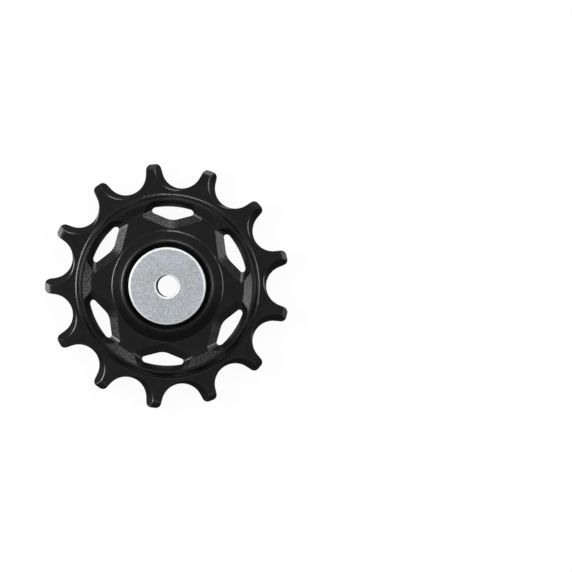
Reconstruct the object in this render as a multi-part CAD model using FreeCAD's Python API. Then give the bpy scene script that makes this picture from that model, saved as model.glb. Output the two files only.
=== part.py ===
import FreeCAD, Part
import math
import os

# Derailleur pulley wheel: a moulded 13-tooth wheel on a sealed ball bearing with two steel caps.
# Millimetres and degrees. The axle runs along +Z through the origin, at the middle of the tooth thickness.

# Chain and teeth
CHAIN_PITCH = 12.7
ROLLER_DIAMETER = 7.75
TEETH = 13
FIRST_GAP_ANGLE = 0.0
ROOT_RELIEF = 0.05
GAP_RADIUS = 4.66
FLANK_LEAN = 8.7
TIP_ADDENDUM = 1.64
TIP_CORNER = 1.23
TOOTH_THICKNESS = 2.0
TIP_THICKNESS = 1.15
TIP_TAPER_LENGTH = 1.4
TIP_TAPER_BLEND = 3.0

# Lead-in on one flank of each tooth, on both faces: a gentle band, then a steeper drop to the flank
LEAD_IN_FLANK_WIDTH = 1.8
LEAD_IN_ROOT_WIDTH = 0.6
LEAD_IN_BAND_WIDTH = 0.25
LEAD_IN_BAND_ANGLE = 22.0
LEAD_IN_DROP_ANGLE = 36.0

# Rim rib between the teeth and the web
RIM_LAND = 1.84
RIB_WALL_TILT = 65.0
RIB_FOOT_FILLET = 1.0
RIB_TOP_WIDTH = 0.55
RIB_THICKNESS = 5.2
RIB_EDGE_BEVEL = 0.12

# Web with windows
WEB_INNER_THICKNESS = 3.2
WEB_OUTER_THICKNESS = 3.0
SPOKE_FACET_WIDTH = 1.95
SPOKE_FACET_FILLET = 1.2
WINDOWS = 6
FIRST_WINDOW_ANGLE = 26.1
WINDOW_EDGE_THICKNESS = 1.1
WINDOW_VEE_SLOPE = 18.4
WINDOW_FACET_TILT = 28.5
WINDOW_WALL_TILT = 58.0
WINDOW_END_TILT = 53.0
WINDOW_END_LEAN = 42.0
WINDOW_END_TRIM = 1.2
WINDOW_VEE_FILLET = 4.0
WINDOW_CORNER_FILLET = 0.6
WINDOW_ARC_FILLET = 0.9
WINDOW_HUB_STRIP = 0.25
WINDOW_RIB_BITE = 0.1

# Hub of the wheel
HUB_LIP_WIDTH = 0.5
HUB_LIP_DROP = 0.6
HUB_LIP_BEVEL = 0.15
HUB_CONE_WIDTH = 2.3
HUB_FOOT_FILLET = 0.8
RECESS_BEVEL = 0.9
SEAT_EDGE_BEVEL = 0.3
BEARING_STANDOUT = 0.5

# Sleeve round the bolt
BOLT_BORE_DIAMETER = 5.0
SLEEVE_WALL = 1.5

# Sealed ball bearing
BALL_DIAMETER = 2.0
BALLS = 10
BALL_CLEARANCE = 0.02
RACE_GROOVE_RADIUS = 1.04
RACE_WALL = 0.98
SHOULDER_GAP = 1.3
RING_EDGE_BEVEL = 0.2
POCKET_CLEARANCE = 0.06
CAGE_SIDE_CLEARANCE = 0.15
CAGE_BACK = 0.45
CAGE_CLAW_HEIGHT = 0.45
CAGE_TO_SEAL = 0.34
SEAL_THICKNESS = 0.5
SEAL_RECESS = 0.15
SEAL_SEAT_DEPTH = 0.65
SEAL_LIP_CLEARANCE = 0.05

# Caps
CAP_THICKNESS = 0.8
CAP_STANDOFF = 0.7
CAP_OVERHANG = 0.85
CAP_RIM_FILLET = 0.55
CAP_BACK_BEVEL = 0.15
CAP_HOLE_FILLET = 0.5
CAP_GAP = 1.1
CAP_SPIGOT_LENGTH = 0.6
CAP_BOSS_SETBACK = 0.45

# How far a cutting tool runs past the faces that it cuts
CUT_MARGIN = 0.1

# Bearing sizes that follow from its stack of rings and balls
bore_radius = BOLT_BORE_DIAMETER / 2
sleeve_radius = bore_radius + SLEEVE_WALL
ball_radius = BALL_DIAMETER / 2
ball_circle_radius = sleeve_radius + RACE_WALL + BALL_CLEARANCE + ball_radius
bearing_radius = ball_circle_radius + ball_radius + BALL_CLEARANCE + RACE_WALL
inner_shoulder_radius = ball_circle_radius - SHOULDER_GAP / 2
outer_shoulder_radius = ball_circle_radius + SHOULDER_GAP / 2
seal_seat_radius = outer_shoulder_radius + SEAL_SEAT_DEPTH
cage_back_height = ball_radius + POCKET_CLEARANCE + CAGE_BACK
seal_inner_height = cage_back_height + CAGE_TO_SEAL
seal_outer_height = seal_inner_height + SEAL_THICKNESS
bearing_half_width = seal_outer_height + SEAL_RECESS

# Cap sizes
cap_radius = bearing_radius + CAP_OVERHANG
cap_back_height = bearing_half_width + CAP_STANDOFF
cap_front_height = cap_back_height + CAP_THICKNESS
cap_boss_radius = inner_shoulder_radius - CAP_BOSS_SETBACK
spigot_end_height = bearing_half_width - CAP_SPIGOT_LENGTH

# Tooth sizes
pitch_radius = CHAIN_PITCH / (2 * math.sin(math.pi / TEETH))
root_radius = pitch_radius - ROLLER_DIAMETER / 2 - ROOT_RELIEF
tip_radius = pitch_radius + TIP_ADDENDUM
tooth_step = 360 / TEETH
tooth_half = TOOTH_THICKNESS / 2

# Radii and half thicknesses of the wheel's section, from the hub outwards
recess_radius = cap_radius + CAP_GAP
recess_floor = bearing_half_width - BEARING_STANDOUT
hub_lip_radius = recess_radius + HUB_LIP_WIDTH
hub_half = cap_front_height - HUB_LIP_DROP
hub_foot_radius = hub_lip_radius + HUB_CONE_WIDTH
web_inner_half = WEB_INNER_THICKNESS / 2
web_outer_half = WEB_OUTER_THICKNESS / 2
rib_half = RIB_THICKNESS / 2
rib_foot_radius = root_radius - RIM_LAND
rib_wall_run = (rib_half - tooth_half) / math.tan(math.radians(RIB_WALL_TILT))
rib_outer_radius = rib_foot_radius - rib_wall_run
rib_inner_radius = rib_outer_radius - RIB_TOP_WIDTH
spoke_facet_radius = rib_inner_radius - SPOKE_FACET_WIDTH

Z_AXIS = FreeCAD.Vector(0, 0, 1)
ORIGIN = FreeCAD.Vector(0, 0, 0)


def flat(x, y, z=0.0):
    """A point of an outline in a plane of constant height."""
    return FreeCAD.Vector(x, y, z)


def section(radius, height):
    """A point of a turned section, in the XZ plane."""
    return FreeCAD.Vector(radius, 0, height)


def direction(angle):
    """The unit vector at an angle in degrees from +X."""
    turn = math.radians(angle)
    return FreeCAD.Vector(math.cos(turn), math.sin(turn), 0)


def arc(start, middle, end):
    return Part.Arc(start, middle, end).toShape()


def corner(radius, height, fillet=0.0, bevel=0.0):
    """A corner of a turned section, sharp or blunted by a fillet radius or by a bevel's leg length."""
    return section(radius, height), fillet, bevel


def blunted_wire(corners):
    """A closed wire through a section's corners."""
    edges = []
    ends = []
    for index, (point, fillet, bevel) in enumerate(corners):
        back = (corners[index - 1][0] - point).normalize()
        ahead = (corners[(index + 1) % len(corners)][0] - point).normalize()
        half_angle = back.getAngle(ahead) / 2
        leg = fillet / math.tan(half_angle) + bevel
        start = point + back * leg
        end = point + ahead * leg
        ends.append((start, end))
        if fillet:
            inwards = (back + ahead).normalize()
            edges.append(arc(start, point + inwards * (fillet / math.sin(half_angle) - fillet), end))
        elif bevel:
            edges.append(Part.makeLine(start, end))
    edges += [Part.makeLine(ends[i - 1][1], ends[i][0]) for i in range(len(ends))]
    return Part.Wire(Part.__sortEdges__(edges))


def turned(corners):
    """A solid of revolution about the axle from a section's corners."""
    return Part.Face(blunted_wire(corners)).revolve(ORIGIN, Z_AXIS, 360)


def both_faces(front_half):
    """A whole section's corners from its front half, listed outwards, by mirroring it to the rear."""
    rear_half = [(section(point.x, -point.z), fillet, bevel) for point, fillet, bevel in reversed(front_half)]
    return front_half + rear_half


def around(shape, count, first_angle=0.0):
    """Copies of a shape, evenly spaced round the axle."""
    return [shape.rotated(ORIGIN, Z_AXIS, first_angle + 360 / count * i) for i in range(count)]


def to_rear(shape):
    """The same shape on the rear face, turned over about the X axis."""
    return shape.rotated(ORIGIN, FreeCAD.Vector(1, 0, 0), 180)


def wheel_section():
    """The wheel's section, from the bearing seat out past the tips, as one turned blank."""
    front_half = [
        corner(bearing_radius, recess_floor, bevel=SEAT_EDGE_BEVEL),
        corner(recess_radius, recess_floor, bevel=RECESS_BEVEL),
        corner(recess_radius, hub_half, bevel=HUB_LIP_BEVEL),
        corner(hub_lip_radius, hub_half, bevel=HUB_LIP_BEVEL),
        corner(hub_foot_radius, web_inner_half, fillet=HUB_FOOT_FILLET),
        corner(spoke_facet_radius, web_outer_half, fillet=SPOKE_FACET_FILLET),
        corner(rib_inner_radius, rib_half, bevel=RIB_EDGE_BEVEL),
        corner(rib_outer_radius, rib_half, bevel=RIB_EDGE_BEVEL),
        corner(rib_foot_radius, tooth_half, fillet=RIB_FOOT_FILLET),
        corner(tip_radius - TIP_TAPER_LENGTH, tooth_half, fillet=TIP_TAPER_BLEND),
        corner(tip_radius + CUT_MARGIN, TIP_THICKNESS / 2),
    ]
    return both_faces(front_half)


def tooth_edges(angle):
    """One gap's round bottom and the tooth that follows it, counter-clockwise from the gap's axis."""
    gap_centre_radius = root_radius + GAP_RADIUS
    tooth_angle = angle + tooth_step / 2
    flank_angle = tooth_angle + FLANK_LEAN
    gap_centre = direction(angle) * gap_centre_radius
    to_flank = direction(flank_angle + 90)
    flank_start = gap_centre + to_flank * GAP_RADIUS

    # the tip's corner arc touches the flank and, from inside, the tip circle
    corner_line = flank_start + to_flank * TIP_CORNER
    along = direction(flank_angle)
    foot = corner_line.dot(along)
    offset_squared = corner_line.dot(corner_line) - foot * foot
    reach = math.sqrt((tip_radius - TIP_CORNER) ** 2 - offset_squared) - foot
    corner_centre = corner_line + along * reach
    flank_end = corner_centre - to_flank * TIP_CORNER
    outwards = FreeCAD.Vector(corner_centre).normalize()
    corner_middle = corner_centre + (outwards - to_flank).normalize() * TIP_CORNER
    tip_start = outwards * tip_radius
    tip_middle = direction(tooth_angle) * tip_radius

    def mirrored(point):
        """The matching point on the tooth's other flank."""
        axis = direction(tooth_angle)
        return axis * (2 * point.dot(axis)) - point

    return [
        arc(mirrored_in_gap(flank_start, angle), direction(angle) * root_radius, flank_start),
        Part.makeLine(flank_start, flank_end),
        arc(flank_end, corner_middle, tip_start),
        arc(tip_start, tip_middle, mirrored(tip_start)),
        arc(mirrored(tip_start), mirrored(corner_middle), mirrored(flank_end)),
        Part.makeLine(mirrored(flank_end), mirrored(flank_start)),
    ]


def mirrored_in_gap(point, angle):
    """The matching point on the other side of a tooth gap."""
    axis = direction(angle)
    return axis * (2 * point.dot(axis)) - point


def toothed_prism():
    """The toothed outline as a prism taller than the wheel."""
    edges = []
    for index in range(TEETH):
        edges += tooth_edges(FIRST_GAP_ANGLE + tooth_step * index)
    height = 2 * (hub_half + CUT_MARGIN)
    prism = Part.Face(Part.Wire(edges)).extrude(Z_AXIS * height)
    return prism.translated(Z_AXIS * (-height / 2))


def lead_in_tools():
    """Pairs of stacked cones that cut the lead-ins: each lies off its gap's axis, so it bites one flank."""
    flank_reach = GAP_RADIUS + LEAD_IN_FLANK_WIDTH
    root_reach = GAP_RADIUS + LEAD_IN_ROOT_WIDTH
    mouth_radius = (flank_reach + root_reach ** 2 / flank_reach) / 2
    shift = flank_reach - mouth_radius
    gap_centre_radius = root_radius + GAP_RADIUS
    band_slope = math.tan(math.radians(LEAD_IN_BAND_ANGLE))
    drop_slope = math.tan(math.radians(LEAD_IN_DROP_ANGLE))

    neck_radius = mouth_radius - LEAD_IN_BAND_WIDTH
    neck_height = tooth_half - LEAD_IN_BAND_WIDTH * band_slope
    band = Part.makeCone(
        neck_radius,
        mouth_radius + CUT_MARGIN / band_slope,
        tooth_half + CUT_MARGIN - neck_height,
        flat(gap_centre_radius, shift, neck_height),
    )
    drop_run = LEAD_IN_FLANK_WIDTH - LEAD_IN_BAND_WIDTH + CUT_MARGIN
    drop_height = drop_run * drop_slope
    drop = Part.makeCone(
        neck_radius - drop_run,
        neck_radius,
        drop_height,
        flat(gap_centre_radius, shift, neck_height - drop_height),
    )
    front = around(band.fuse(drop), TEETH, FIRST_GAP_ANGLE)
    return front + [to_rear(tool) for tool in front]


def window_outline(height, vee_distance, arc_radius, end_distance, arc_fillet):
    """A window's outline, symmetric about +Y: a shallow vee to the hub, two ends and an outer arc."""
    vee_normal = direction(90 + WINDOW_VEE_SLOPE)
    vee_along = direction(WINDOW_VEE_SLOPE)
    end_normal = direction(WINDOW_END_LEAN)
    end_along = direction(90 + WINDOW_END_LEAN)

    # corner between vee and end, both straight
    blunt = WINDOW_CORNER_FILLET
    corner_turn = math.radians(90 + WINDOW_VEE_SLOPE - WINDOW_END_LEAN)
    inner_vee = vee_distance + blunt
    inner_end = end_distance - blunt
    corner_reach = (inner_end - inner_vee * math.cos(corner_turn)) / math.sin(corner_turn)
    corner_centre = vee_normal * inner_vee + vee_along * corner_reach
    vee_end = corner_centre - vee_normal * blunt
    end_start = corner_centre + end_normal * blunt
    corner_middle = corner_centre + (end_normal - vee_normal).normalize() * blunt

    # corner between end and outer arc
    arc_inner_end = end_distance - arc_fillet
    arc_reach = math.sqrt((arc_radius - arc_fillet) ** 2 - arc_inner_end ** 2)
    arc_corner = end_normal * arc_inner_end + end_along * arc_reach
    end_end = arc_corner + end_normal * arc_fillet
    outwards = FreeCAD.Vector(arc_corner).normalize()
    arc_start = outwards * arc_radius
    arc_corner_middle = arc_corner + (outwards + end_normal).normalize() * arc_fillet

    # the vee's point is rounded by at most half the vee's own length
    slope = math.radians(WINDOW_VEE_SLOPE)
    vee_length = vee_end.x / math.cos(slope)
    vee_fillet = min(WINDOW_VEE_FILLET, vee_length / 2 / math.tan(slope))
    vee_centre = flat(0, (vee_distance + vee_fillet) / math.cos(slope))
    vee_start = vee_centre - vee_normal * vee_fillet
    vee_middle = vee_centre - flat(0, vee_fillet)

    def left(point):
        return flat(-point.x, point.y)

    edges = [
        arc(left(vee_start), vee_middle, vee_start),
        Part.makeLine(vee_start, vee_end),
        arc(vee_end, corner_middle, end_start),
        Part.makeLine(end_start, end_end),
        arc(end_end, arc_corner_middle, arc_start),
        arc(arc_start, flat(0, arc_radius), left(arc_start)),
        arc(left(arc_start), left(arc_corner_middle), left(end_end)),
        Part.makeLine(left(end_end), left(end_start)),
        arc(left(end_start), left(corner_middle), left(vee_end)),
        Part.makeLine(left(vee_end), left(vee_start)),
    ]
    return Part.Wire(edges).translated(Z_AXIS * height)


def window_tool():
    """One window's cutting tool, centred on +Y: an hourglass of sloping facets through the web."""
    edge_half = WINDOW_EDGE_THICKNESS / 2
    top = rib_half + CUT_MARGIN
    rise = top - edge_half
    slope = math.radians(WINDOW_VEE_SLOPE)
    wall_slope = math.tan(math.radians(WINDOW_WALL_TILT))
    facet_slope = math.tan(math.radians(WINDOW_FACET_TILT))
    end_slope = math.tan(math.radians(WINDOW_END_TILT))

    vee_at_web = (hub_foot_radius + WINDOW_HUB_STRIP) * math.cos(slope)
    vee = vee_at_web + (web_inner_half - edge_half) / facet_slope
    arc_radius = rib_inner_radius + WINDOW_RIB_BITE - (rib_half - edge_half) / wall_slope

    # the ends cut the vee lines short of where these would meet the outer arc
    end_corner = direction(90 + WINDOW_VEE_SLOPE) * vee
    end_corner += direction(WINDOW_VEE_SLOPE) * (math.sqrt(arc_radius ** 2 - vee ** 2) - WINDOW_END_TRIM)
    end = end_corner.dot(direction(WINDOW_END_LEAN))

    # both outlines turn their outer corners through the same angle, so that these corners are plain cones
    face_arc_radius = arc_radius + rise / wall_slope
    face_end = end + rise / end_slope
    turn = (end - WINDOW_ARC_FILLET) / (arc_radius - WINDOW_ARC_FILLET)
    face_fillet = (face_end - turn * face_arc_radius) / (1 - turn)

    def edge_outline(height):
        return window_outline(height, vee, arc_radius, end, WINDOW_ARC_FILLET)

    def face_outline(height):
        return window_outline(height, vee - rise / facet_slope, face_arc_radius, face_end, face_fillet)

    # the hub's cone is steeper than the facets, so the tool stops at the hub's foot
    outlines = [face_outline(-top), edge_outline(-edge_half), edge_outline(edge_half), face_outline(top)]
    hub = Part.makeCylinder(hub_foot_radius, 2 * top, flat(0, 0, -top))
    return Part.makeLoft(outlines, True, True).cut(hub)


def pulley_wheel():
    blank = turned(wheel_section())
    toothed = blank.common(toothed_prism())
    windows = around(window_tool(), WINDOWS, FIRST_WINDOW_ANGLE - 90)
    return toothed.cut(lead_in_tools() + windows).removeSplitter()


def race_torus(groove_centre_radius):
    return Part.makeTorus(groove_centre_radius, RACE_GROOVE_RADIUS)


def bearing_inner_ring():
    front_half = [
        corner(sleeve_radius, bearing_half_width, bevel=RING_EDGE_BEVEL),
        corner(inner_shoulder_radius, bearing_half_width, bevel=RING_EDGE_BEVEL),
    ]
    groove_bottom = ball_circle_radius - ball_radius - BALL_CLEARANCE
    return turned(both_faces(front_half)).cut(race_torus(groove_bottom + RACE_GROOVE_RADIUS))


def bearing_outer_ring():
    front_half = [
        corner(outer_shoulder_radius, seal_inner_height),
        corner(seal_seat_radius, seal_inner_height),
        corner(seal_seat_radius, bearing_half_width),
        corner(bearing_radius, bearing_half_width, bevel=RING_EDGE_BEVEL),
    ]
    groove_bottom = ball_circle_radius + ball_radius + BALL_CLEARANCE
    return turned(both_faces(front_half)).cut(race_torus(groove_bottom - RACE_GROOVE_RADIUS))


def balls():
    ball = Part.makeSphere(ball_radius, flat(ball_circle_radius, 0))
    return around(ball, BALLS)


def ball_cage():
    """A ring of pockets on a thin back; the pockets' claws reach past the balls' middle."""
    inner = inner_shoulder_radius + CAGE_SIDE_CLEARANCE
    outer = outer_shoulder_radius - CAGE_SIDE_CLEARANCE
    pocket_ring = turned([
        corner(inner, -cage_back_height),
        corner(outer, -cage_back_height),
        corner(outer, CAGE_CLAW_HEIGHT),
        corner(inner, CAGE_CLAW_HEIGHT),
    ])
    pocket = Part.makeSphere(ball_radius + POCKET_CLEARANCE, flat(ball_circle_radius, 0))
    return pocket_ring.cut(around(pocket, BALLS))


def front_seal():
    inner = inner_shoulder_radius + SEAL_LIP_CLEARANCE
    return turned([
        corner(inner, seal_inner_height),
        corner(seal_seat_radius, seal_inner_height),
        corner(seal_seat_radius, seal_outer_height),
        corner(inner, seal_outer_height),
    ])


def axle_sleeve():
    return turned([
        corner(bore_radius, -spigot_end_height),
        corner(sleeve_radius, -spigot_end_height),
        corner(sleeve_radius, spigot_end_height),
        corner(bore_radius, spigot_end_height),
    ])


def front_cap():
    """A turned cap: a thin flange with a rounded rim, a boss on the inner ring and a spigot in its bore."""
    return turned([
        corner(bore_radius, spigot_end_height),
        corner(sleeve_radius, spigot_end_height),
        corner(sleeve_radius, bearing_half_width),
        corner(cap_boss_radius, bearing_half_width),
        corner(cap_boss_radius, cap_back_height),
        corner(cap_radius, cap_back_height, bevel=CAP_BACK_BEVEL),
        corner(cap_radius, cap_front_height, fillet=CAP_RIM_FILLET),
        corner(bore_radius, cap_front_height, fillet=CAP_HOLE_FILLET),
    ])


def all_nodes():
    nodes = {
        "pulley_wheel": pulley_wheel(),
        "bearing_outer_ring": bearing_outer_ring(),
        "bearing_inner_ring": bearing_inner_ring(),
        "ball_cage": ball_cage(),
        "front_seal": front_seal(),
        "rear_seal": to_rear(front_seal()),
        "axle_sleeve": axle_sleeve(),
        "front_cap": front_cap(),
        "rear_cap": to_rear(front_cap()),
    }
    for number, ball in enumerate(balls(), start=1):
        nodes[f"ball_{number:02d}"] = ball
    return nodes


os.makedirs("parts", exist_ok=True)
for name, shape in all_nodes().items():
    shape.exportStep(f"parts/{name}.step")
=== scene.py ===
import bpy
import math
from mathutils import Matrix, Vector


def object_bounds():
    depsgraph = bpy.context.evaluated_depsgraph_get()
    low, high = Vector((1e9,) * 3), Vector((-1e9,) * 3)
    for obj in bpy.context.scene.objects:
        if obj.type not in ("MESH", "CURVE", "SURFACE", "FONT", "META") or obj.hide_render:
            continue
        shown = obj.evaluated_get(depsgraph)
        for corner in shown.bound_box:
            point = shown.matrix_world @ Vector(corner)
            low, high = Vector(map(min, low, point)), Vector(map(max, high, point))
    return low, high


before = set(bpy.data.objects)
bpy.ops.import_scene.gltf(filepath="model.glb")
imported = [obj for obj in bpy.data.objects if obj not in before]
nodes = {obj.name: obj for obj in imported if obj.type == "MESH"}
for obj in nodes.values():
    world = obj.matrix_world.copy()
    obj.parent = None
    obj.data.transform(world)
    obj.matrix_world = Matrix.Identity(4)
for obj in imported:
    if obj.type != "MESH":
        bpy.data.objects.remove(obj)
cad_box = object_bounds()
scene = bpy.context.scene

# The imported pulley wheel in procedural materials, lit and seen as in the photo; no shape is added to it.
# The axle runs along +Z through the origin, and +Y is up in the picture. Lengths are in metres, but the
# materials lay out their zones and noises in millimetres.
MM_PER_M = 1000.0

# Zones by distance from the axle, in millimetres: where a mask is 0, then where it is 1
BORE_FROM = (2.60, 2.52)
HUB_LIP_FROM = (9.4, 9.6)
HUB_LIP_TO = (11.1, 10.9)
WINDOWS_FROM = (12.6, 12.9)
WINDOWS_TO = (19.5, 19.3)
WEB_FROM = (12.85, 13.0)
WEB_TO = (19.42, 19.3)
TEETH_FROM = (20.9, 21.3)

# Zones by slope, as the normal's share along the axle: where a mask is 0, then where it is 1
BORE_WALL = (0.25, 0.10)
FACETS_FROM_FLAT = (0.965, 0.945)
FACETS_FROM_WALL = (0.70, 0.80)
CAP_RIM = (0.99, 0.93)

# The spokes' facets face the axle: the normal's share away from it, in the same order
SPOKE_FACING = (-0.05, -0.15)

# Radii over which edges look softened, and how far a softened normal turns there, as a cosine
TOOTH_EDGE = 0.00028
WHEEL_EDGE = 0.00009
WINDOW_EDGE = 0.00004
CAP_EDGE = 0.00008
BEARING_EDGE = 0.00006
EDGE_TURN = (0.995, 0.9)
EDGE_SAMPLES = 6

# Heights of the fine relief in the surfaces
PLASTIC_RELIEF = 0.0001
PLATING_RELIEF = 0.00002
TURNING_RELIEF = 0.000004

# The wall of the bolt's bore is painted dark on the caps and on the sleeve, as painted shade inside the
# hole
BORE_PAINTED_SHADE_LEVELS = (0.010, 0.016)
BORE_ROUGHNESS = 0.7

# The part of a noise's range that most of it lies in
NOISE_MIDDLE = (0.25, 0.75)

# Floor and room
FLOOR_GAP = 0.00002
FLOOR_REACH = 6.0
FLOOR_TONES = (0.88, 0.92)
FLOOR_WHITE_SHARE = 0.95
WHITE = (1, 1, 1, 1)
NEUTRAL = (1.0, 1.0, 1.0)
ROOM_FADE = (-0.7, 0.2)
ROOM_LEVELS = (0.08, 0.25)
LAMP_DISTANCE = 0.6

# Camera: its height and its shift from the axle, and how wide the picture is at the face of the teeth
CAMERA_HEIGHT = 0.516
CAMERA_SHIFT = 0.02716
TEETH_DISTANCE = 0.515
PICTURE_WIDTH = 0.13129
SENSOR_WIDTH = 36.0
CLIP_NEAR = 0.01
CLIP_FAR = 50.0


class Nodes:
    """A node tree, filled in by calls that add nodes and return the output that the next ones need."""

    def __init__(self, tree):
        self.tree = tree

    def add(self, kind, inputs=(), output=0, **settings):
        node = self.tree.nodes.new("ShaderNode" + kind)
        for name, value in settings.items():
            setattr(node, name, value)
        for key, value in dict(inputs).items():
            self.put(node.inputs[key], value)
        return node.outputs[output]

    def put(self, socket, value):
        if isinstance(value, bpy.types.NodeSocket):
            self.tree.links.new(value, socket)
        else:
            socket.default_value = value

    def math(self, operation, a, b=0.0):
        return self.add("Math", {0: a, 1: b}, operation=operation)

    def plus(self, value, extra, share):
        """A value with a share of another added to it."""
        return self.math("ADD", value, self.math("MULTIPLY", extra, share))

    def vector(self, operation, a, b=(0, 0, 0), output="Vector"):
        return self.add("VectorMath", {0: a, 1: b}, output, operation=operation)

    def along(self, a, b):
        """The dot product of two vectors."""
        return self.vector("DOT_PRODUCT", a, b, output="Value")

    def span(self, value, low, high, out_low=0.0, out_high=1.0):
        """A smooth step from out_low at low to out_high at high."""
        given = {"Value": value, "From Min": low, "From Max": high, "To Min": out_low, "To Max": out_high}
        return self.add("MapRange", given, interpolation_type="SMOOTHSTEP")

    def band(self, value, rise, fall):
        """A mask that is 1 between two smooth steps."""
        return self.math("MULTIPLY", self.span(value, *rise), self.span(value, *fall))

    def ramp(self, value, out_low, out_high):
        """A straight ramp over a noise's useful middle."""
        low, high = NOISE_MIDDLE
        given = {"Value": value, "From Min": low, "From Max": high, "To Min": out_low, "To Max": out_high}
        return self.add("MapRange", given)

    def noise(self, place, scale, detail, roughness):
        given = {"Vector": place, "Scale": scale, "Detail": detail, "Roughness": roughness}
        return self.add("TexNoise", given)

    def mix(self, share, a, b):
        """A blend of two numbers."""
        return self.add("Mix", {0: share, 2: a, 3: b}, data_type="FLOAT")

    def tinted(self, level, tint):
        """A colour from a grey level and its shares of red, green and blue."""
        channels = [self.math("MULTIPLY", level, share) for share in tint]
        return self.add("CombineColor", dict(enumerate(channels)))

    def millimetres(self):
        """The point on the piece in millimetres, and its distance from the axle."""
        metres = self.add("TexCoord", output="Object")
        place = self.add("VectorMath", {0: metres, "Scale": MM_PER_M}, operation="SCALE")
        radius = self.vector("LENGTH", self.vector("MULTIPLY", place, (1, 1, 0)), output="Value")
        return place, radius

    def upright(self):
        """How far the surface faces along the axle: 0 on a wall and 1 on a flat face."""
        return self.math("ABSOLUTE", self.along(self.add("TexCoord", output="Normal"), (0, 0, 1)))

    def outwards(self, place):
        """How far the surface faces away from the axle, or towards it where this is below 0."""
        away = self.vector("NORMALIZE", self.vector("MULTIPLY", place, (1, 1, 0)))
        return self.along(self.add("TexCoord", output="Normal"), away)

    def in_bore(self, radius, upright):
        """A mask that is 1 on the wall of the bolt's bore."""
        return self.math("MULTIPLY", self.span(radius, *BORE_FROM), self.span(upright, *BORE_WALL))

    def rounded(self, radius):
        """The normal with edges rounded over a radius, and a mask that is 1 on those edges."""
        bevel = self.add("Bevel", {"Radius": radius}, samples=EDGE_SAMPLES)
        plain = self.add("NewGeometry", output="Normal")
        return bevel, self.span(self.along(bevel, plain), *EDGE_TURN)

    def finish(self, shader, kind="Material"):
        """Links a shader to a new output of the tree, for a material or for the world."""
        output = self.tree.nodes.new("ShaderNodeOutput" + kind)
        self.tree.links.new(shader, output.inputs["Surface"])


def with_nodes(made):
    """A new material or world and its nodes, emptied, with the shader still to be linked."""
    made.use_nodes = True
    made.node_tree.nodes.clear()
    return made, Nodes(made.node_tree)


def moulded_plastic():
    """Black plastic: smooth semi-gloss faces, with a fine grain on the web's sloping facets."""
    made, n = with_nodes(bpy.data.materials.new("moulded_plastic_black"))
    place, radius = n.millimetres()
    on_teeth = n.span(radius, *TEETH_FROM)
    in_windows = n.band(radius, WINDOWS_FROM, WINDOWS_TO)
    normal, edge = n.rounded(n.mix(on_teeth, n.mix(in_windows, WHEEL_EDGE, WINDOW_EDGE), TOOTH_EDGE))

    sloping = n.band(n.upright(), FACETS_FROM_FLAT, FACETS_FROM_WALL)
    grained = n.math("MULTIPLY", sloping, n.band(radius, WEB_FROM, WEB_TO))
    on_spoke = n.span(n.outwards(place), *SPOKE_FACING)
    on_lip = n.band(radius, HUB_LIP_FROM, HUB_LIP_TO)

    blotch = n.noise(place, scale=0.35, detail=4.0, roughness=0.6)
    grain = n.noise(place, scale=3.0, detail=4.0, roughness=0.65)
    fine = n.noise(place, scale=11.0, detail=2.0, roughness=0.6)

    smooth_level = n.ramp(blotch, 0.0042, 0.0066)
    grain_level = n.ramp(grain, 0.003, 0.018)
    worn_level = n.ramp(grain, 0.0, 0.012)
    level = n.plus(n.mix(grained, smooth_level, grain_level), edge, worn_level)

    smooth_roughness = n.plus(n.ramp(blotch, 0.20, 0.26), on_lip, 0.10)
    grain_roughness = n.mix(on_spoke, n.ramp(grain, 0.18, 0.28), n.ramp(grain, 0.20, 0.28))
    roughness = n.plus(n.mix(grained, smooth_roughness, grain_roughness), edge, 0.06)

    grain_strength = n.mix(grained, 0.015, n.mix(on_spoke, 0.4, 0.8))
    height = n.math("MULTIPLY", n.plus(grain, fine, 0.3), grain_strength)
    n.finish(n.add("BsdfPrincipled", {
        "Base Color": n.tinted(level, (1.0, 1.0, 1.03)),
        "Roughness": roughness,
        "Specular IOR Level": 0.45,
        "Normal": n.add("Bump", {"Height": height, "Distance": PLASTIC_RELIEF, "Normal": normal}),
    }))
    return made


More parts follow.
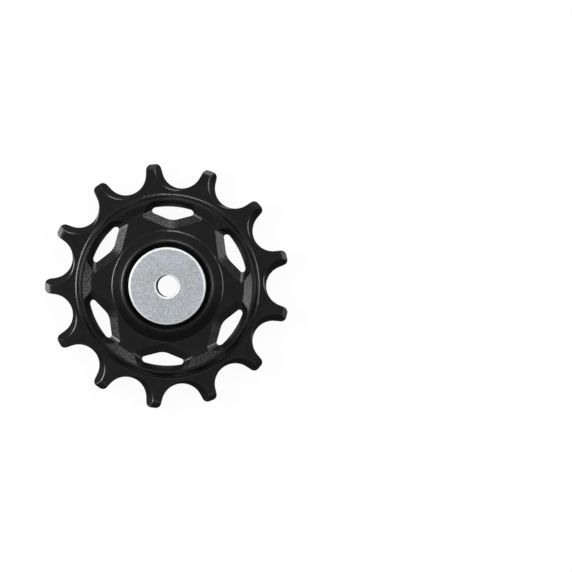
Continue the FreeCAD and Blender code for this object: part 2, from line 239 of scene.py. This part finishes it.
def plated_steel():
    """Zinc-plated steel: a matte grain, a rim painted paler as partly polish and partly a painted
    highlight, and painted shade in the bore.
    """
    made, n = with_nodes(bpy.data.materials.new("plated_steel_matte"))
    place, radius = n.millimetres()
    normal, edge = n.rounded(CAP_EDGE)
    upright = n.upright()
    in_bore = n.in_bore(radius, upright)
    rim = n.span(upright, *CAP_RIM)

    cloud = n.noise(place, scale=0.25, detail=3.0, roughness=0.5)
    speck = n.noise(place, scale=3.8, detail=3.0, roughness=0.7)
    fine = n.noise(place, scale=10.0, detail=2.0, roughness=0.6)

    flat_level = n.math("ADD", n.ramp(cloud, 0.55, 0.63), n.ramp(speck, -0.36, 0.36))
    # The rim is painted pale: partly a polished edge, partly a painted highlight that keeps the ring bright
    # all round
    rim_polish_and_highlight_level = n.ramp(cloud, 0.90, 0.96)
    level = n.plus(n.mix(rim, flat_level, rim_polish_and_highlight_level), edge, 0.06)
    # Painted shade: the bore's wall gets a near-black, matte, non-metal colour where the hole lies in
    # shadow
    level = n.mix(in_bore, level, n.ramp(cloud, *BORE_PAINTED_SHADE_LEVELS))
    red = n.mix(rim, 0.955, 0.995)
    blue = n.mix(rim, n.ramp(cloud, 1.01, 1.10), 1.005)

    roughness = n.mix(rim, n.ramp(speck, 0.42, 0.58), n.ramp(cloud, 0.33, 0.39))
    height = n.plus(speck, fine, 0.4)
    n.finish(n.add("BsdfPrincipled", {
        "Base Color": n.tinted(level, (red, 1.0, blue)),
        # Metallic is low on the rim, so its pale colour shows as a painted highlight at every side
        "Metallic": n.mix(in_bore, n.mix(rim, 1.0, 0.15), 0.0),
        "Roughness": n.mix(in_bore, roughness, BORE_ROUGHNESS),
        "Specular IOR Level": 0.0,
        "Normal": n.add("Bump", {"Height": height, "Distance": PLATING_RELIEF, "Normal": normal}),
    }))
    return made


def turned_steel(name, low, high, roughness, tint):
    """Turned or ground steel, with fine lines round the axle, and painted shade in the bolt's bore."""
    made, n = with_nodes(bpy.data.materials.new(name))
    place, radius = n.millimetres()
    normal, edge = n.rounded(BEARING_EDGE)
    in_bore = n.in_bore(radius, n.upright())

    across = n.add("CombineXYZ", {0: radius, 1: n.along(place, (0, 0, 1))})
    lines = n.noise(across, scale=22.0, detail=2.0, roughness=0.6)
    cloud = n.noise(place, scale=0.8, detail=3.0, roughness=0.5)

    level = n.math("ADD", n.ramp(cloud, low, high), n.ramp(lines, -0.03, 0.03))
    # Painted shade: near-black in the bolt's bore, where the hole lies in shadow
    level = n.mix(in_bore, n.plus(level, edge, 0.08), n.ramp(cloud, *BORE_PAINTED_SHADE_LEVELS))
    line_roughness = n.ramp(lines, roughness - 0.05, roughness + 0.06)
    n.finish(n.add("BsdfPrincipled", {
        "Base Color": n.tinted(level, tint),
        "Metallic": n.math("SUBTRACT", 1.0, in_bore),
        "Roughness": n.mix(in_bore, line_roughness, BORE_ROUGHNESS),
        "Specular IOR Level": 0.0,
        "Normal": n.add("Bump", {"Height": lines, "Distance": TURNING_RELIEF, "Normal": normal}),
    }))
    return made


def soft_polymer(name, low, high, roughness, warmth, relief):
    """Rubber or nylon inside the bearing."""
    made, n = with_nodes(bpy.data.materials.new(name))
    place, _ = n.millimetres()
    normal, edge = n.rounded(BEARING_EDGE)
    cloud = n.noise(place, scale=1.2, detail=3.0, roughness=0.55)
    speck = n.noise(place, scale=9.0, detail=3.0, roughness=0.6)

    level = n.plus(n.ramp(cloud, low, high), edge, 0.25 * low)
    n.finish(n.add("BsdfPrincipled", {
        "Base Color": n.tinted(level, (1.0, 1.0 - 0.4 * warmth, 1.0 - warmth)),
        "Roughness": n.ramp(speck, roughness - 0.07, roughness + 0.07),
        "Specular IOR Level": 0.4,
        "Normal": n.add("Bump", {"Height": speck, "Distance": relief, "Normal": normal}),
    }))
    return made


sleeve_tint = (1.0, 1.0, 1.02)
bearing_tint = (1.0, 0.99, 0.97)
finishes = {
    "moulded_plastic": moulded_plastic(),
    "plated_steel": plated_steel(),
    "sleeve_steel": turned_steel(
        "sleeve_steel_turned", low=0.42, high=0.48, roughness=0.34, tint=sleeve_tint),
    "bearing_steel": turned_steel(
        "bearing_steel_ground", low=0.52, high=0.60, roughness=0.24, tint=bearing_tint),
    "seal_rubber": soft_polymer(
        "seal_rubber_black", low=0.012, high=0.02, roughness=0.62, warmth=0.05, relief=0.00001),
    "cage_plastic": soft_polymer(
        "cage_nylon_natural", low=0.48, high=0.56, roughness=0.42, warmth=0.22, relief=0.000005),
}
balls = [name for name in nodes if name.startswith("ball_") and name != "ball_cage"]
slots = {
    "moulded_plastic": ["pulley_wheel"],
    "plated_steel": ["front_cap", "rear_cap"],
    "sleeve_steel": ["axle_sleeve"],
    "bearing_steel": ["bearing_outer_ring", "bearing_inner_ring"] + balls,
    "seal_rubber": ["front_seal", "rear_seal"],
    "cage_plastic": ["ball_cage"],
}
for slot, members in slots.items():
    for member in members:
        nodes[member].material_slots[0].material = finishes[slot]


def pale_floor():
    """A pale sheet that is seen as white and keeps a soft shadow."""
    made, n = with_nodes(bpy.data.materials.new("floor_pale"))
    place = n.add("TexCoord", output="Object")
    tone = n.ramp(n.noise(place, scale=6.0, detail=2.0, roughness=0.5), *FLOOR_TONES)
    sheet = n.add("BsdfDiffuse", {"Color": n.tinted(tone, NEUTRAL)})
    white = n.add("Emission", {"Color": WHITE, "Strength": 1.0})

    seen = n.add("LightPath", output="Is Camera Ray")
    for ray in ("Is Glossy Ray", "Is Transmission Ray"):
        seen = n.math("MAXIMUM", seen, n.add("LightPath", output=ray))
    n.finish(n.add("MixShader", {0: n.math("MULTIPLY", seen, FLOOR_WHITE_SHARE), 1: sheet, 2: white}))
    return made


# Floor: just under the rear cap, so that the two don't share a plane
floor_level = cad_box[0].z - FLOOR_GAP
floor_corners = [(-1, -1), (1, -1), (1, 1), (-1, 1)]
floor_points = [(x * FLOOR_REACH, y * FLOOR_REACH, floor_level) for x, y in floor_corners]
floor_mesh = bpy.data.meshes.new("floor")
floor_mesh.from_pydata(floor_points, [], [(0, 1, 2, 3)])
floor_mesh.materials.append(pale_floor())
floor = bpy.data.objects.new("floor", floor_mesh)
scene.collection.objects.link(floor)


def studio_world():
    """A soft grey room, dimmer towards the bottom of the picture, and white where the camera sees it."""
    made, n = with_nodes(bpy.data.worlds.new("studio"))
    upwards = n.along(n.add("TexCoord", output="Generated"), (0, 1, 0))
    level = n.span(upwards, *ROOM_FADE, *ROOM_LEVELS)
    room = n.add("Background", {"Color": n.tinted(level, NEUTRAL), "Strength": 1.0})
    white = n.add("Background", {"Color": WHITE, "Strength": 1.0})
    seen = n.add("LightPath", output="Is Camera Ray")
    n.finish(n.add("MixShader", {0: seen, 1: room, 2: white}), "World")
    return made


scene.world = studio_world()


def softbox(name, azimuth, off_axis, width, height, radiance):
    """A soft lamp that faces the part, its place given by its azimuth and its angle from straight above."""
    a, t = math.radians(azimuth), math.radians(off_axis)
    towards = Vector((math.cos(a) * math.sin(t), math.sin(a) * math.sin(t), math.cos(t)))
    lamp = bpy.data.lights.new(name, "AREA")
    lamp.shape = "RECTANGLE"
    lamp.size = width
    lamp.size_y = height
    lamp.energy = radiance * math.pi * width * height
    holder = bpy.data.objects.new(name, lamp)
    scene.collection.objects.link(holder)
    holder.location = towards * LAMP_DISTANCE
    holder.rotation_euler = (-holder.location).to_track_quat("-Z", "Y").to_euler()


softbox("left_softbox", azimuth=169, off_axis=47, width=0.26, height=0.17, radiance=17.0)
softbox("right_softbox", azimuth=6, off_axis=44, width=0.24, height=0.17, radiance=8.5)
softbox("top_softbox", azimuth=81, off_axis=45, width=0.22, height=0.17, radiance=9.5)
softbox("low_softbox", azimuth=262, off_axis=20, width=0.22, height=0.10, radiance=1.2)

# Camera: straight down, off the axle's line, so that the part sits left of the picture's middle
camera = bpy.data.cameras.new("photo_camera")
camera.sensor_width = SENSOR_WIDTH
camera.lens = SENSOR_WIDTH * TEETH_DISTANCE / PICTURE_WIDTH
camera.clip_start = CLIP_NEAR
camera.clip_end = CLIP_FAR
camera_holder = bpy.data.objects.new("photo_camera", camera)
camera_holder.location = (CAMERA_SHIFT, 0.0, CAMERA_HEIGHT)
scene.collection.objects.link(camera_holder)
scene.camera = camera_holder

scene.view_settings.view_transform = "Standard"
